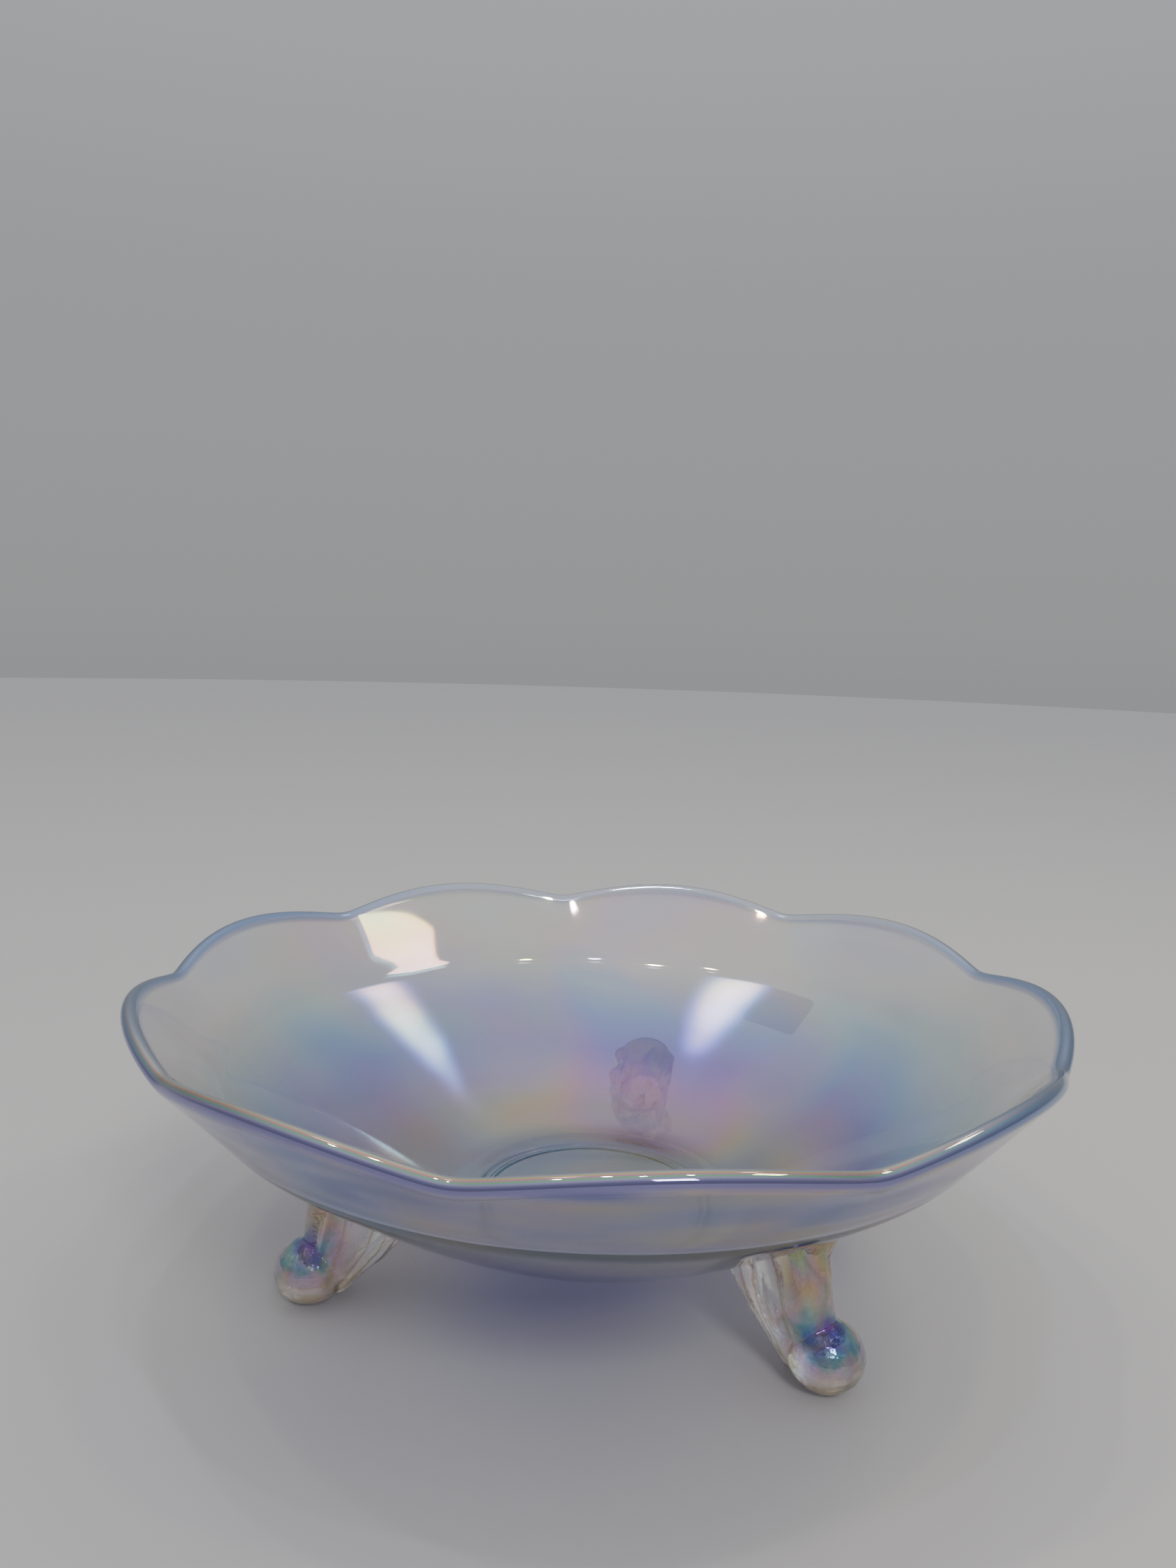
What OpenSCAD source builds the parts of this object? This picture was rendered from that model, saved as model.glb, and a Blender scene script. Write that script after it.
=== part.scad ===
// Footed glass bowl: a pressed dish with a scalloped rim, carried by three shell feet
// with ball toes. The origin is on the ground, on the bowl's axis. Lengths are in mm.

/* [Bowl] */
// Diameter of the circle through the tips of the scallops
bowl_d = 280; // [230:1:340]
// Height from the ground to the tips of the scallops
bowl_h = 96; // [80:1:120]
// Thickness of the pressed wall
wall = 4.8; // [3.5:0.1:6]
// Width of the upturned band under the rim
band_w = 23; // [16:0.5:32]
// Height of that band, from the shoulder to the tips
band_h = 31; // [22:0.5:38]
// How far the dish bellies below a straight cone
belly = 2.2; // [0:0.1:5]

/* [Scallops] */
// Scallops round the rim
scallops = 9; // [6:3:15]
// How far a notch stands in from the tips
notch_in = 2.9; // [1:0.1:6]
// How far a notch drops below the tips
notch_drop = 5.8; // [1:0.1:9]
// Softness of a notch, from a sharp cusp to a wave
notch_soft = 0.12; // [0.05:0.01:0.5]

/* [Floor] */
// Diameter of the flat floor
floor_d = 96; // [80:1:120]
// Gap between the ground and the floor's underside
floor_gap = 21.3; // [17:0.1:28]
// Diameter of the ring pressed under the floor
ring_d = 71; // [50:1:72]
// Width of that ring
ring_w = 3.2; // [2:0.1:5]
// How far that ring stands down
ring_h = 1.3; // [0.8:0.1:2.5]

/* [Feet] */
// Distance from the bowl's axis to the middle of each toe
foot_reach = 88; // [72:0.5:108]
// Diameter of the ball toe, seen from above
toe_d = 21.6; // [17:0.1:26]
// Height of the toe, which is a slightly flattened ball
toe_h = 19.4; // [16:0.1:24]
// Radius of the widest flute of the shell
flute_r = 11.8; // [9:0.1:15]
// Height of the narrow waist above the ground
waist_z = 24.5; // [20:0.5:28]
// Radius of the waist on the outer side
waist_r = 7.6; // [6:0.1:10]
// How far each toe is ground flat
toe_flat = 0.25; // [0.1:0.05:0.5]

/* [Label] */
// Width of the paper label
label_w = 24; // [15:1:30]
// Length of the label down the wall
label_l = 17.5; // [12:0.5:20]
// Radius of the label's corners
label_corner = 1.8; // [0.5:0.1:4]
// How far the label stands off the glass
label_t = 0.12; // [0.08:0.01:0.3]
// Direction of the label, counted from the right-hand side
label_turn = 63.4; // [0:0.1:360]
// Slant of the label on the wall
label_slant = 4; // [-20:1:20]

/* [Hidden] */

rim_r = bowl_d / 2;
shoulder_r = rim_r - band_w;
shoulder_z = bowl_h - band_h;
floor_r = floor_d / 2;
ring_r = ring_d / 2;
lip_r = wall / 2;
toe_r = toe_d / 2;
toe_z = toe_h / 2 - toe_flat; // height of the toe's middle
rear_turn = 90; // direction of the rear foot, which stands under a scallop tip

steps_scallop = 16; // points round each scallop
steps_dish = 6; // steps from the floor's edge to the shoulder
steps_band = 5; // steps from the shoulder to the lip
steps_lip = 6; // steps over the rounded lip
steps_ring = 4; // steps over the floor ring
notch_crowd = 0.6; // how much closer the points stand near a notch
fade = 1.5; // power by which a scallop fades down the band
ball_fn = 24;
ball_turn = 90 / ball_fn; // keeps the facets' corners off the plane through the foot and the axis

// ---- the cross-section, as [radius, height] points ----

// Underside of the dish at radius r; level inside the floor's edge
function dish_z(r) =
    let (t = max(0, (r - floor_r) / (shoulder_r - floor_r)))
    floor_gap + (shoulder_z - floor_gap) * t - belly * 4 * t * max(0, 1 - t);

// The lip is a half round about this point
lip_mid = [rim_r - lip_r, bowl_h - lip_r];
to_lip = lip_mid - [shoulder_r, shoulder_z];
band_angle = atan2(to_lip[1], to_lip[0]) - asin(lip_r / norm(to_lip));
band_len = sqrt(norm(to_lip) ^ 2 - lip_r ^ 2);

function along(angle) = [cos(angle), sin(angle)];

dish_line = [for (i = [0:steps_dish])
    let (r = floor_r + (shoulder_r - floor_r) * i / steps_dish) [r, dish_z(r)]];
band_line = [for (i = [1:steps_band])
    [shoulder_r, shoulder_z] + along(band_angle) * band_len * i / steps_band];
outer_line = concat(dish_line, band_line);

// The inside is the outside moved in by the wall, mitred at each point
function heading(i) =
    i < 0 ? [1, 0]
    : i >= len(outer_line) - 1 ? along(band_angle)
    : let (d = outer_line[i + 1] - outer_line[i]) d / norm(d);
function mitre(i) =
    let (a = heading(i - 1), b = heading(i), m = (a + b) / norm(a + b))
    [-m[1], m[0]] * wall / (m * b);
inner_line = [for (i = [0:len(outer_line) - 1]) outer_line[i] + mitre(i)];

lip_line = [for (i = [1:steps_lip - 1])
    lip_mid + lip_r * along(band_angle - 90 + 180 * i / steps_lip)];
ring_line = [for (i = [0:steps_ring])
    [ring_r - ring_w / 2 * cos(180 * i / steps_ring), floor_gap - ring_h * sin(180 * i / steps_ring)]];

// How much of the scallop each point takes: none on the dish, all of it on the lip
function share(i) = i <= steps_dish ? 0 : ((i - steps_dish) / steps_band) ^ fade;
shares = [for (i = [0:len(outer_line) - 1]) share(i)];

// ---- the scallops ----

// 0 in a notch and 1 at a tip, where u runs from 0 to 1 over one scallop
function swell(u) =
    (sqrt(sin(180 * u) ^ 2 + notch_soft ^ 2) - notch_soft) / (sqrt(1 + notch_soft ^ 2) - notch_soft);

// Where the points stand over one scallop, closest near the notches
function crowd(t) = t - notch_crowd * sin(360 * t) / 360 / PI * 180;

rim_steps = [for (k = [0:scallops - 1], j = [0:steps_scallop - 1])
    let (u = crowd(j / steps_scallop)) [rear_turn + 360 / scallops * (k + u - 0.5), swell(u)]];

// One ring of points at a place on the cross-section, with its share of the scallop
function ring_at(p, part) = [for (s = rim_steps)
    let (dip = part * (1 - s[1]), r = p[0] - notch_in * dip)
    [r * cos(s[0]), r * sin(s[0]), p[1] - notch_drop * dip]];

// A closed skin over a stack of rings, capped at both ends
module skin(rings) {
    n = len(rings[0]);
    last = len(rings) - 1;
    walls = [for (i = [0:last - 1], j = [0:n - 1])
        let (k = (j + 1) % n, a = i * n, b = a + n)
        each [[a + j, b + j, b + k], [a + j, b + k, a + k]]];
    caps = [[for (j = [0:n - 1]) j], [for (j = [n - 1:-1:0]) last * n + j]];
    polyhedron(points = [for (ring = rings) each ring], faces = concat(walls, caps), convexity = 6);
}

under_rings = concat(
    [for (p = ring_line) ring_at(p, 0)],
    [for (i = [0:len(outer_line) - 1]) ring_at(outer_line[i], shares[i])]);

// Everything inside the bowl's outer surface, for trimming what joins it underneath
module bowl_outline() {
    above = bowl_h + wall;
    skin(concat(under_rings, [[for (s = rim_steps) [rim_r * cos(s[0]), rim_r * sin(s[0]), above]]]));
}

module bowl() {
    color([0.80, 0.82, 0.88, 0.45])
        skin(concat(
            under_rings,
            [for (p = lip_line) ring_at(p, 1)],
            [for (i = [len(inner_line) - 1:-1:0]) ring_at(inner_line[i], shares[i])]));
}

// ---- a foot, drawn with its toe on the +X side ----

module ball(at, r) {
    translate(at) rotate([0, 0, ball_turn]) sphere(r = r, $fn = ball_fn);
}

// One rounded flute, through [distance from the axis, sideways, height, radius] stations
// from its root in the bowl's underside to its heel on the toe
module flute(stations) {
    for (i = [1:len(stations) - 1])
        hull()
            for (s = [stations[i - 1], stations[i]])
                ball([s[0], s[1], s[2]], s[3]);
}

// Height of a flute's root, so that its round end is cut by the underside
function root_z(r, size) = dish_z(r) + size * 0.4;

module shell() {
    outer_x = foot_reach - 8.5;
    middle_x = foot_reach - 17.5;
    inner_x = foot_reach - 28;
    tail_x = foot_reach - 32.3;
    middle_r = 6.6;
    inner_r = 6;
    tail_r = 4.4;
    flute([
        [outer_x, 0, root_z(outer_x, flute_r), flute_r],
        [foot_reach - 10, 0, waist_z + 10, waist_r + 1.2],
        [foot_reach - 3 - waist_r, 0, waist_z, waist_r],
        [foot_reach - 5, 0, toe_z + 1.5, toe_z - 1.2]]);
    for (side = [-1, 1]) {
        flute([
            [middle_x, side * 5.4, root_z(middle_x, middle_r), middle_r],
            [foot_reach - 13.5, side * 4.2, waist_z - 5, 5.4],
            [foot_reach - 6, side * 2.2, toe_z, 6.4]]);
        flute([
            [inner_x, side * 4, root_z(inner_x, inner_r), inner_r],
            [foot_reach - 18.5, side * 2.8, waist_z - 8.5, 4.6],
            [foot_reach - 6, 0, toe_z - 0.8, 6.6]]);
    }
    flute([
        [tail_x, 0, root_z(tail_x, tail_r), tail_r],
        [foot_reach - 19.5, 0, waist_z - 10.5, 4.2],
        [foot_reach - 5, 0, toe_z - 1.2, 6.8]]);
}

// The shell and its toe, trimmed to the bowl's underside and ground flat where they stand
module foot(turn) {
    color([0.86, 0.85, 0.92, 0.6])
        difference() {
            rotate([0, 0, turn]) {
                shell();
                translate([foot_reach, 0, toe_z]) scale([1, 1, toe_h / toe_d]) ball([0, 0, 0], toe_r);
            }
            bowl_outline();
            translate([0, 0, -toe_d / 2]) cube([bowl_d, bowl_d, toe_d], center = true);
        }
}

module foot_rear() {
    foot(rear_turn);
}

module foot_front_left() {
    foot(rear_turn + 120);
}

module foot_front_right() {
    foot(rear_turn - 120);
}

// ---- the label, a thin patch that follows the wall ----

label_sink = 0.1; // how far its back sits in the glass, so that it bears all over
label_mid_r = shoulder_r - label_l / 2; // its top edge stays just under the shoulder
label_cols = 12;
label_rows = [0, 0.02, 0.06, 0.15, 0.35, 0.5, 0.65, 0.85, 0.94, 0.98, 1];

// A point of the label: a is across it, b is up the wall, off is away from the glass
function label_point(a, b, off) =
    let (
        across = a * cos(label_slant) + b * sin(label_slant),
        up = b * cos(label_slant) - a * sin(label_slant),
        step = 0.1,
        slope = atan2(dish_z(label_mid_r + step) - dish_z(label_mid_r - step), 2 * step),
        r = label_mid_r + up * cos(slope),
        angle = label_turn - across / r * 180 / PI,
        out = r + off * sin(slope))
    [out * cos(angle), out * sin(angle), dish_z(r) - off * cos(slope)];

function label_half(v) =
    let (edge = min(v, 1 - v) * label_l, in = max(0, label_corner - edge))
    label_w / 2 - label_corner + sqrt(label_corner ^ 2 - in ^ 2);

function label_face(off) = [for (v = label_rows) [for (i = [0:label_cols])
    label_point((2 * i / label_cols - 1) * label_half(v), (v - 0.5) * label_l, off)]];

module paper_label() {
    back = label_face(-label_sink);
    front = label_face(label_t);
    // each ring runs over the front of one row and returns along its back
    rings = [for (i = [0:len(label_rows) - 1])
        concat(front[i], [for (j = [label_cols:-1:0]) back[i][j]])];
    color([0.90, 0.88, 0.84]) skin(rings);
}

bowl();
foot_rear();
foot_front_left();
foot_front_right();
paper_label();
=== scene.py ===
import math

import bpy
import bmesh
from mathutils import Matrix, Vector
from mathutils.bvhtree import BVHTree


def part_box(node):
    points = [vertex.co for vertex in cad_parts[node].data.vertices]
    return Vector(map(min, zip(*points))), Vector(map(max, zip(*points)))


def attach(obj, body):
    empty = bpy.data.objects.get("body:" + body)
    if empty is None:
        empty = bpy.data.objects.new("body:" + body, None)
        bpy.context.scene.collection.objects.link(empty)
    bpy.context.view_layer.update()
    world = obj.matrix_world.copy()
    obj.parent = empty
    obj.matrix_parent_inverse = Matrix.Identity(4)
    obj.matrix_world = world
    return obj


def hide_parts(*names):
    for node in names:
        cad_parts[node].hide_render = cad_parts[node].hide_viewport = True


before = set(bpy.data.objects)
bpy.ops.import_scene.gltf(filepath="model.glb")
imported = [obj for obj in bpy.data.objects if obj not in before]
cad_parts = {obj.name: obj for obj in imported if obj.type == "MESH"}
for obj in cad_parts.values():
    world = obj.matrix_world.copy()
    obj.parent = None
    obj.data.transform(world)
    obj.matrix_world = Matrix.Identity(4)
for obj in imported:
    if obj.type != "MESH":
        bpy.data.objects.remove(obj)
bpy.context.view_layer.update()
print("frame loaded:", sorted(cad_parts))

mm = 0.001
weldGap = 0.00001        # metres; points nearer than this become one
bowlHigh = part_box("bowl")[1]
rimRadius = bowlHigh[1]        # the rear scallop's tip stands on +Y
rimHeight = bowlHigh[2]

camera = {
    "place": (0.08365, -0.36642, 0.20645),
    "turn": 13.73,        # degrees round the upright
    "down": 7.74,         # degrees below level
    "roll": 1.765,
    "lens": 38.2,
    "sensor": 36,
    "nearest": 0.01,      # metres; nothing closer is drawn
}


def makeCamera():
    data = bpy.data.cameras.new("camera")
    data.lens = camera["lens"]
    data.sensor_width = camera["sensor"]
    data.sensor_fit = "HORIZONTAL"
    data.clip_start = camera["nearest"]
    cam = bpy.data.objects.new("camera", data)
    bpy.context.scene.collection.objects.link(cam)
    turn = Matrix.Rotation(math.radians(camera["turn"]), 4, "Z")
    tilt = Matrix.Rotation(math.radians(90 - camera["down"]), 4, "X")
    roll = Matrix.Rotation(math.radians(camera["roll"]), 4, "Z")
    cam.matrix_world = Matrix.Translation(camera["place"]) @ turn @ tilt @ roll
    bpy.context.scene.camera = cam


makeCamera()
print("camera in place")


def linear(hexColour):        # an sRGB hex on the linear scale, with full alpha
    parts = [int(hexColour[i:i + 2], 16) / 255 for i in (1, 3, 5)]
    return tuple(c / 12.92 if c <= 0.04045 else ((c + 0.055) / 1.055) ** 2.4 for c in parts) + (1.0,)


def addNode(tree, kind, links=None, sockets=None, stops=(), **settings):
    # settings are the node's own, sockets its fixed inputs, links its linked ones and stops a ramp's colours
    node = tree.nodes.new(kind)
    for name, value in settings.items():
        setattr(node, name, value)
    for name, value in (sockets or {}).items():
        node.inputs[name].default_value = value
    for name, source in (links or {}).items():
        tree.links.new(source, node.inputs[name])
    if stops:
        places = node.color_ramp.elements
        while len(places) < len(stops):
            places.new(0.5)
        for i, (position, colour) in enumerate(stops):
            places[i].position = position
            places[i].color = linear(colour)
    return node


def newMaterial(name):
    mat = bpy.data.materials.new(name)
    mat.use_nodes = True
    mat.node_tree.nodes.clear()
    return mat, mat.node_tree


def deselectAll():
    if bpy.context.object and bpy.context.object.mode != "OBJECT":
        bpy.ops.object.mode_set(mode="OBJECT")
    bpy.ops.object.select_all(action="DESELECT")


def pick(obj):
    deselectAll()
    obj.select_set(True)
    bpy.context.view_layer.objects.active = obj


def applyModifier(obj, kind, **settings):
    pick(obj)
    modifier = obj.modifiers.new(kind.lower(), kind)
    for name, value in settings.items():
        setattr(modifier, name, value)
    bpy.ops.object.modifier_apply(modifier=modifier.name)


def settle(obj):        # the object's place goes into its mesh
    pick(obj)
    bpy.ops.object.transform_apply(location=True, rotation=True, scale=True)


def tidyNormals(obj):
    pick(obj)
    bpy.ops.object.mode_set(mode="EDIT")
    bpy.ops.mesh.select_all(action="SELECT")
    bpy.ops.mesh.remove_doubles(threshold=weldGap)
    bpy.ops.mesh.normals_make_consistent(inside=False)
    bpy.ops.object.mode_set(mode="OBJECT")


stageValues = {
    "floor": "#C9C8C6",
    "floorRadius": 3.2,        # metres
    "floorRoughness": 0.55,
    "sky": [        # sine of the height above level, and the light there
        (-0.2, "#8E8F91"), (0.02, "#9C9D9E"), (0.25, "#A2A3A6"),
        (0.55, "#B9BBC0"), (0.85, "#E6E8EE"), (1.0, "#F2F3F8"),
    ],
    "strength": 1.0,
}


def makeFloor():
    # painted board: matt and pale, so the glass throws a soft shadow on it and no clear reflection
    deselectAll()
    bpy.ops.mesh.primitive_circle_add(vertices=96, radius=stageValues["floorRadius"], fill_type="NGON")
    floor = bpy.context.object
    floor.name = "floor"
    mat, tree = newMaterial("matt_painted_board")
    bsdf = addNode(tree, "ShaderNodeBsdfPrincipled", sockets={
        "Base Color": linear(stageValues["floor"]), "Roughness": stageValues["floorRoughness"]})
    addNode(tree, "ShaderNodeOutputMaterial", links={"Surface": bsdf.outputs[0]})
    floor.data.materials.append(mat)


def makeSky():
    world = bpy.data.worlds.new("studio")
    bpy.context.scene.world = world
    world.use_nodes = True
    tree = world.node_tree
    tree.nodes.clear()
    lowest, highest = stageValues["sky"][0][0], stageValues["sky"][-1][0]
    direction = addNode(tree, "ShaderNodeTexCoord")
    height = addNode(tree, "ShaderNodeSeparateXYZ", links={0: direction.outputs["Generated"]})
    climb = addNode(tree, "ShaderNodeMapRange", links={"Value": height.outputs[2]},
                    sockets={"From Min": lowest, "From Max": highest})
    sky = addNode(tree, "ShaderNodeValToRGB", links={"Fac": climb.outputs["Result"]}, stops=[
        ((z - lowest) / (highest - lowest), colour) for z, colour in stageValues["sky"]])
    back = addNode(tree, "ShaderNodeBackground", links={"Color": sky.outputs["Color"]},
                   sockets={"Strength": stageValues["strength"]})
    addNode(tree, "ShaderNodeOutputWorld", links={"Surface": back.outputs[0]})


# A glow is an oval softbox, white in the middle and bluer towards its edge; a lamp is a plain small one.
glows = [        # name, place, direction of its length, (half length, half width), strength
    ("glow_left", (0.346, 0.678, 1.115), (0, -0.87, 0.5), (0.17, 0.042), 7),
    ("glow_right", (-0.423, 0.223, 1.276), (-0.81, 0.48, -0.365), (0.15, 0.062), 7),
]
glowTints = [(0.0, "#5A6CF0"), (0.25, "#9FB4FF"), (0.6, "#FFFFFF")]
glowAim = (0, 0, 0.05)        # they all face this point in the bowl
lamps = [        # name, place, aim, size, watts, colour
    ("key", (1.0, -1.7, 1.6), (0, 0, 0.05), (0.6, 0.6), 16, "#FFFFFF"),
    ("window", (0.60, 0.24, 1.04), (0, 0, 0.08), (0.30, 0.16), 1.5, "#FFF3C4"),
    ("spot_1", (-0.52, -0.25, 1.6), (0, 0, 0.1), (0.05, 0.05), 1.1, "#FFF1C0"),
    ("spot_2", (-0.22, -0.05, 1.6), (0, 0, 0.1), (0.05, 0.05), 1.1, "#FFFFFF"),
    ("spot_3", (0.10, -0.30, 1.6), (0, 0, 0.1), (0.05, 0.05), 1.1, "#F4D8FF"),
    ("spot_4", (0.42, -0.10, 1.6), (0, 0, 0.1), (0.05, 0.05), 1.1, "#FFF6D0"),
]


def facing(place, aim):
    return (Vector(aim) - Vector(place)).to_track_quat("-Z", "Y").to_euler()


def makeGlow(name, place, along, size, strength):
    deselectAll()
    bpy.ops.mesh.primitive_circle_add(vertices=64, radius=1, fill_type="NGON")
    disc = bpy.context.object
    disc.name = name
    back = (Vector(place) - Vector(glowAim)).normalized()
    across = back.cross(Vector(along)).normalized()
    turn = Matrix((across.cross(back), across, back)).transposed().to_4x4()
    disc.matrix_world = Matrix.Translation(place) @ turn
    disc.scale = (size[0], size[1], 1)

    # backlit cloth: it glows in the middle and fades to nothing at its edge, so a reflection of it is soft
    mat, tree = newMaterial(name + "_cloth")
    where = addNode(tree, "ShaderNodeTexCoord")
    far = addNode(tree, "ShaderNodeVectorMath", operation="LENGTH", links={0: where.outputs["Object"]})
    fall = addNode(tree, "ShaderNodeMapRange", interpolation_type="SMOOTHSTEP",
                   links={"Value": far.outputs["Value"]}, sockets={"To Min": 1, "To Max": 0})
    tint = addNode(tree, "ShaderNodeValToRGB", links={"Fac": fall.outputs["Result"]}, stops=glowTints)
    power = addNode(tree, "ShaderNodeMath", operation="MULTIPLY", links={0: fall.outputs["Result"]},
                    sockets={1: strength})
    light = addNode(tree, "ShaderNodeEmission",
                    links={"Color": tint.outputs["Color"], "Strength": power.outputs[0]})
    clear = addNode(tree, "ShaderNodeBsdfTransparent")
    both = addNode(tree, "ShaderNodeAddShader", links={0: light.outputs[0], 1: clear.outputs[0]})
    addNode(tree, "ShaderNodeOutputMaterial", links={"Surface": both.outputs[0]})
    disc.data.materials.append(mat)
    disc.visible_camera = False


def makeLamps():
    for glow in glows:
        makeGlow(*glow)
    for name, place, aim, size, watts, colour in lamps:
        data = bpy.data.lights.new(name, "AREA")
        data.shape = "RECTANGLE"
        data.size, data.size_y = size
        data.energy = watts
        data.color = linear(colour)[:3]
        lamp = bpy.data.objects.new(name, data)
        lamp.location = place
        lamp.rotation_euler = facing(place, aim)
        lamp.visible_camera = False
        bpy.context.scene.collection.objects.link(lamp)


makeFloor()
makeSky()
makeLamps()
print("floor and lights in place")


bowl = {        # millimetres
    "wall": 4.8,
    "bandWidth": 23,          # the upturned band under the rim
    "bandHeight": 31,
    "bandSteps": (0.03, 0.17, 0.34, 0.5, 0.66, 0.82, 0.94, 1),
    "lipAngles": (-60, -30, 0, 30, 60),        # degrees round the half-round lip
    "belly": 2.2,             # how far the dish hangs below a straight cone
    "dishSteps": (60, 70, 80, 90, 100, 108),
    "shoulderSoft": 5,        # the shoulder is eased over this width
    "shoulderHold": 1,
    "floorRadius": 48,
    "floorSoft": 5,           # and the floor's edge over this one
    "floorEdge": 1.2,
    "floorEase": 0.25,
    "floorSteps": (8, 24, 41),        # these rings hold the floor flat
    "floorUnder": 21.3,
    "ringRadius": 35.5,       # the ring under the floor
    "ringWidth": 3.2,
    "ringHeight": 1.3,
    "ringFillet": 1.2,
    "ringEdge": 0.25,
    "ringTop": 0.6,           # share of its width that stands lowest
    "scallops": 9,
    "pointsPerScallop": 24,
    "notchIn": 2.9,
    "notchDrop": 5.8,
    "notchSoft": 0.12,
    "crowd": 0.6,             # how much closer the points stand near a notch
    "fade": 1.5,              # power by which a scallop fades down the band
}

shoulderR = rimRadius / mm - bowl["bandWidth"]
shoulderZ = rimHeight / mm - bowl["bandHeight"]


def dishHeight(r):
    t = max(0, (r - bowl["floorRadius"]) / (shoulderR - bowl["floorRadius"]))
    rise = (shoulderZ - bowl["floorUnder"]) * t
    return bowl["floorUnder"] + rise - bowl["belly"] * 4 * t * max(0, 1 - t)


def outerLine():
    # the underside from the floor's edge to the lip, as (radius, height, share of the scallop)
    floorR, soft, under = bowl["floorRadius"], bowl["floorSoft"], bowl["floorUnder"]
    edge = floorR + bowl["floorEdge"]
    line = [(bowl["floorSteps"][2], under, 0), (floorR - soft, under, 0),
            (edge, dishHeight(edge) + bowl["floorEase"], 0)]
    steps = [floorR + soft, *bowl["dishSteps"], shoulderR - bowl["shoulderSoft"], shoulderR - bowl["shoulderHold"]]
    line += [(r, dishHeight(r), 0) for r in steps]
    lipR = bowl["wall"] / 2
    mid = (rimRadius / mm - lipR, rimHeight / mm - lipR)
    to = (mid[0] - shoulderR, mid[1] - shoulderZ)
    reach = math.hypot(*to)
    slope = math.atan2(to[1], to[0]) - math.asin(lipR / reach)
    length = math.sqrt(reach * reach - lipR * lipR)
    for t in bowl["bandSteps"]:
        line.append((shoulderR + math.cos(slope) * length * t,
                     shoulderZ + math.sin(slope) * length * t, t ** bowl["fade"]))
    return line, mid, slope


def insideOf(line):        # the same line, one wall's thickness further in
    inside = []
    for i, (r, z, part) in enumerate(line):
        a = line[max(0, i - 1)]
        b = line[min(len(line) - 1, i + 1)]
        run, rise = b[0] - a[0], b[1] - a[1]
        size = math.hypot(run, rise)
        inside.append((r - rise / size * bowl["wall"], z + run / size * bowl["wall"], part))
    return inside


def swell(u):        # 0 in a notch and 1 at a tip
    soft = bowl["notchSoft"]
    return (math.sqrt(math.sin(math.pi * u) ** 2 + soft * soft) - soft) / (math.sqrt(1 + soft * soft) - soft)


def turned(name, rings):
    # a point on the axis is drawn out along the section, and the section is spun into a closed body
    deselectAll()
    bpy.ops.mesh.primitive_plane_add(size=mm, location=(0, 0, rings[0][1] * mm))
    obj = bpy.context.object
    obj.name = name
    settle(obj)
    bpy.ops.object.mode_set(mode="EDIT")
    bpy.ops.mesh.select_mode(type="VERT")
    bpy.ops.mesh.select_all(action="SELECT")
    bpy.ops.mesh.merge(type="CENTER")
    at = (0, rings[0][1])
    for r, z, part in rings + [(0, rings[-1][1], 0)]:
        step = ((r - at[0]) * mm, 0, (z - at[1]) * mm)
        bpy.ops.mesh.extrude_region_move(TRANSFORM_OT_translate={"value": step})
        at = (r, z)
    bpy.ops.mesh.select_all(action="SELECT")
    bpy.ops.mesh.spin(steps=bowl["scallops"] * bowl["pointsPerScallop"], angle=2 * math.pi,
                      center=(0, 0, 0), axis=(0, 0, 1))
    bpy.ops.mesh.select_all(action="SELECT")
    bpy.ops.mesh.remove_doubles(threshold=2 * weldGap)
    bpy.ops.mesh.normals_make_consistent(inside=False)
    bpy.ops.object.mode_set(mode="OBJECT")
    return obj


def scallop(obj, rings):
    # the rings' points crowd towards the notches, then dip and move in; each keeps its share for the tint
    rimShare = obj.data.attributes.new("rimShare", "FLOAT", "POINT")
    shares = {(round(r, 2), round(z, 2)): part for r, z, part in rings}
    for vertex in obj.data.vertices:
        r = math.hypot(vertex.co.x, vertex.co.y) / mm
        if r < 1:        # the two points on the axis
            continue
        z = vertex.co.z / mm
        part = shares.get((round(r, 2), round(z, 2)))
        if part is None:        # its rounding fell the other way
            part = min(rings, key=lambda ring: abs(ring[0] - r) + abs(ring[1] - z))[2]
        rimShare.data[vertex.index].value = part
        turn = math.atan2(vertex.co.y, vertex.co.x) - math.pi / 2
        t = (turn / (2 * math.pi) * bowl["scallops"] + 0.5) % 1
        u = t - bowl["crowd"] * math.sin(2 * math.pi * t) / (2 * math.pi) * 0.5
        turn += (u - t) * 2 * math.pi / bowl["scallops"]
        dip = part * (1 - swell(u))
        r -= bowl["notchIn"] * dip
        z -= bowl["notchDrop"] * dip
        vertex.co = (-math.sin(turn) * r * mm, math.cos(turn) * r * mm, z * mm)


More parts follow.
